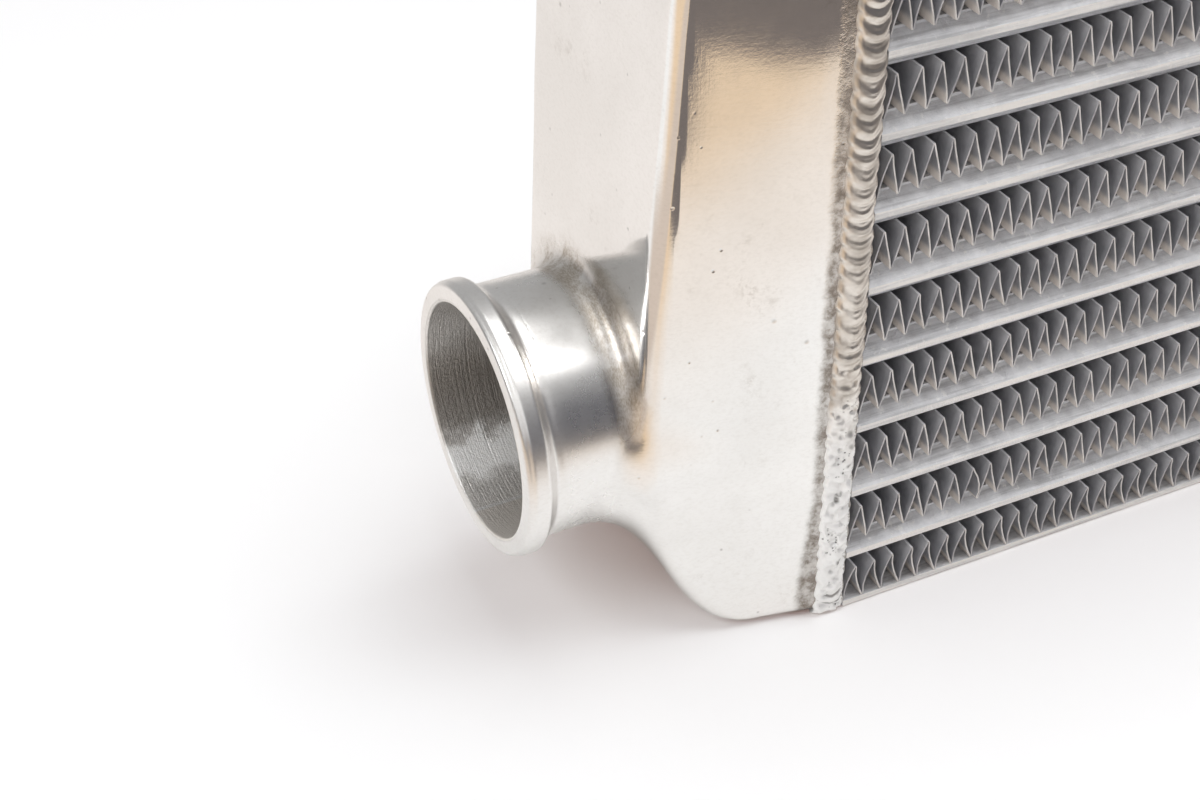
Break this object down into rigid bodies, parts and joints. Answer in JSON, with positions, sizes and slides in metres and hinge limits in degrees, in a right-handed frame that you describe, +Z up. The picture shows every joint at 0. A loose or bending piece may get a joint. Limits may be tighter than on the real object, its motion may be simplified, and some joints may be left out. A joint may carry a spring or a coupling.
{
  "type": "intercooler",
  "caption": "Bar-and-plate charge-air cooler: finned core between two cast end tanks, each with a beaded hose spigot low on its outer face.",
  "frame": {"origin": "middle of the underside, on the surface that it stands on", "axes": "+X along the core from tank to tank, +Y through its thickness, +Z up"},
  "size_m": [0.338, 0.08, 0.1928],
  "materials": {
    "cast_aluminium": "linished casting",
    "weld_aluminium": "as welded",
    "bar_aluminium": "brazed, matt",
    "fin_aluminium": "brazed sheet"
  },
  "bodies": {
    "root": {"channel_bars_01": "bar_aluminium", "channel_bars_02": "bar_aluminium", "channel_bars_03": "bar_aluminium", "channel_bars_04": "bar_aluminium", "channel_bars_05": "bar_aluminium", "channel_bars_06": "bar_aluminium", "channel_bars_07": "bar_aluminium", "channel_bars_08": "bar_aluminium", "channel_bars_09": "bar_aluminium", "channel_bars_10": "bar_aluminium", "end_tank_left": "cast_aluminium", "end_tank_right": "cast_aluminium", "external_fin_01": "fin_aluminium", "external_fin_02": "fin_aluminium", "external_fin_03": "fin_aluminium", "external_fin_04": "fin_aluminium", "external_fin_05": "fin_aluminium", "external_fin_06": "fin_aluminium", "external_fin_07": "fin_aluminium", "external_fin_08": "fin_aluminium", "external_fin_09": "fin_aluminium", "external_fin_10": "fin_aluminium", "external_fin_11": "fin_aluminium", "header_bars_left": "bar_aluminium", "header_bars_right": "bar_aluminium", "parting_plates_01": "bar_aluminium", "parting_plates_02": "bar_aluminium", "parting_plates_03": "bar_aluminium", "parting_plates_04": "bar_aluminium", "parting_plates_05": "bar_aluminium", "parting_plates_06": "bar_aluminium", "parting_plates_07": "bar_aluminium", "parting_plates_08": "bar_aluminium", "parting_plates_09": "bar_aluminium", "parting_plates_10": "bar_aluminium", "side_plate_bottom": "bar_aluminium", "side_plate_top": "bar_aluminium", "turbulator_01": "fin_aluminium", "turbulator_02": "fin_aluminium", "turbulator_03": "fin_aluminium", "turbulator_04": "fin_aluminium", "turbulator_05": "fin_aluminium", "turbulator_06": "fin_aluminium", "turbulator_07": "fin_aluminium", "turbulator_08": "fin_aluminium", "turbulator_09": "fin_aluminium", "turbulator_10": "fin_aluminium", "weld_bead_left": "weld_aluminium", "weld_bead_right": "weld_aluminium"}
  },
  "joints": []
}
